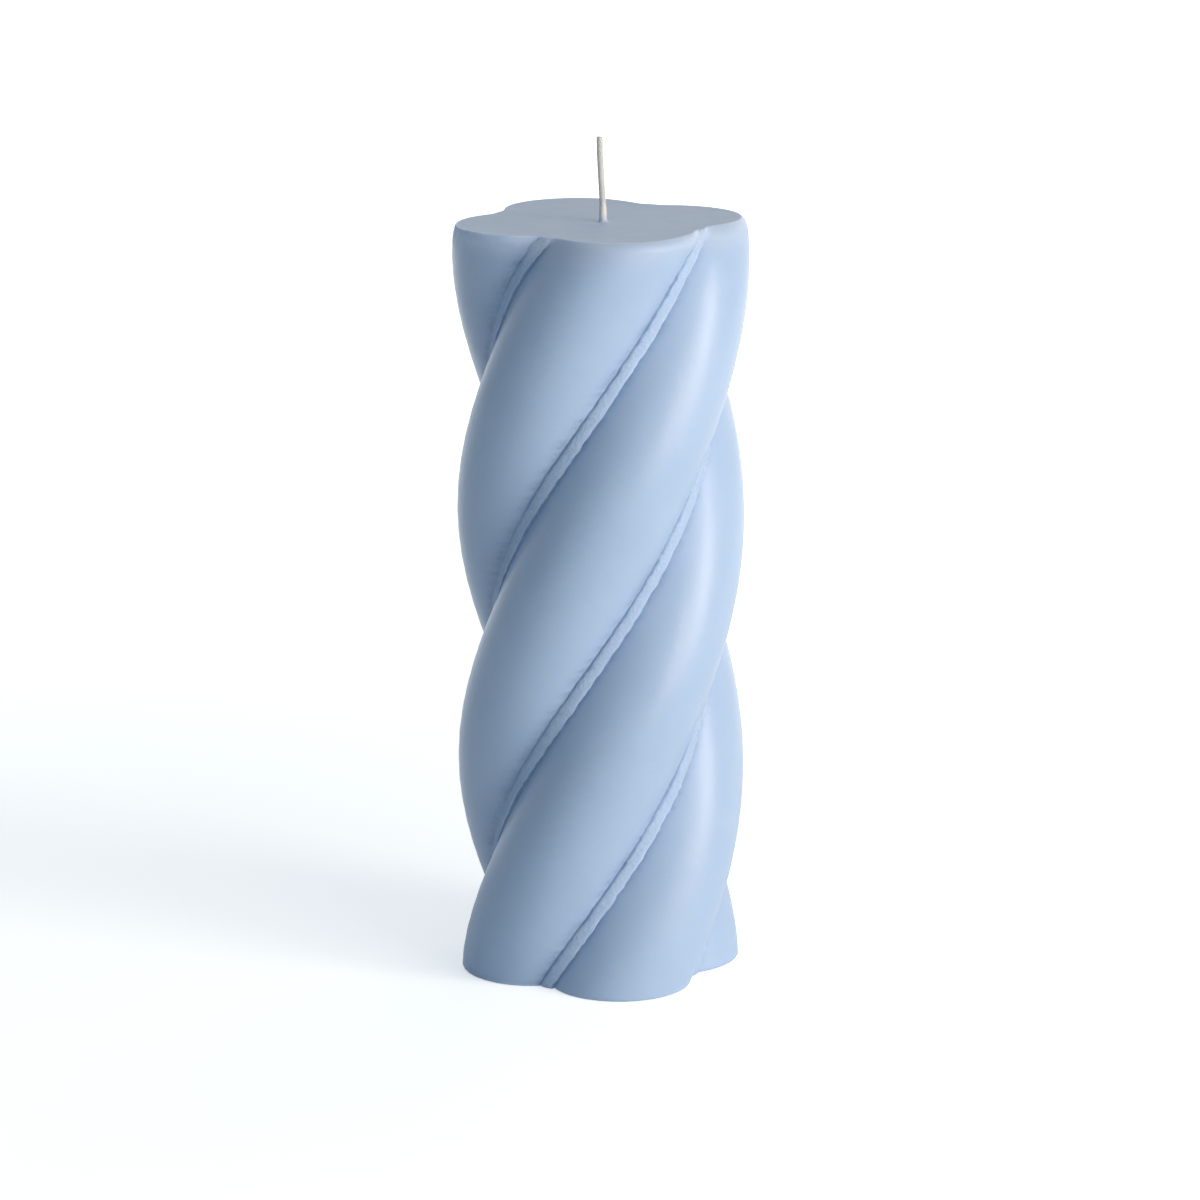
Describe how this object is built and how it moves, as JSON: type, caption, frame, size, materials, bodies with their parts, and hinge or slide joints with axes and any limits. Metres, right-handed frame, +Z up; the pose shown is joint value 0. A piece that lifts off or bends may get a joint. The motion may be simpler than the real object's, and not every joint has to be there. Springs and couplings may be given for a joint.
{
  "type": "pillar candle",
  "caption": "Twisted pillar candle of round wax strands with a thin flat cord of wax in each groove, a flat top, a standing braided wick and a metal wick sustainer in the base.",
  "frame": {"origin": "middle of the flat base, on the candle's axis, in the plane that it stands on", "axes": "+Z up along the axis to the wick; -Y is the side that faces the camera in the picture, +X is to its right"},
  "size_m": [0.0772, 0.0772, 0.222],
  "materials": {
    "wax": "satin",
    "wick_cotton": "matte",
    "wick_core": "matte",
    "sustainer_steel": "satin"
  },
  "bodies": {
    "root": {"wax_pillar": "wax", "wick_braid": "wick_cotton", "wick_core": "wick_core", "wick_sustainer": "sustainer_steel"}
  },
  "joints": []
}
